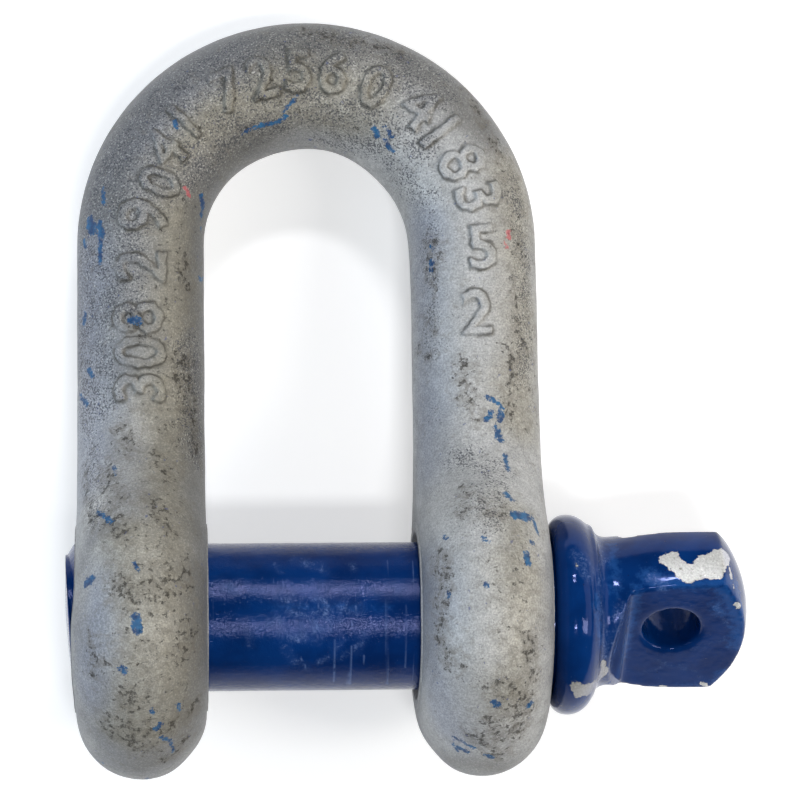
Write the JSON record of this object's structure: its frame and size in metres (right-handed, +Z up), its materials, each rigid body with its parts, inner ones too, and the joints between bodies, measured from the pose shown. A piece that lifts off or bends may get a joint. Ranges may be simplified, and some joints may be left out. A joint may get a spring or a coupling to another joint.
{
  "type": "chain joining shackle",
  "caption": "Forged galvanised D shackle for joining chain, with a blue painted screw pin that has a round collar and a flat lug with an eye",
  "frame": {"origin": "on the surface it lies on, under the middle of its box", "axes": "+X along the pin towards its head, +Y from the pin to the crown of the bow, +Z up from the surface it lies on"},
  "size_m": [0.1172, 0.1313, 0.0552],
  "materials": {
    "galvanised_steel": "dull hot-dip galvanised forging, pitted and grimy",
    "blue_paint": "gloss blue paint, scratched, chipped to bright metal at the head"
  },
  "bodies": {
    "shackle": {"shackle_body": "galvanised_steel"},
    "pin": {"screw_pin": "blue_paint"}
  },
  "joints": [
    {"name": "pin_withdraw", "type": "slide", "parent": "shackle", "child": "pin", "axis": [1, 0, 0], "range_m": [0, 0.085]}
  ]
}
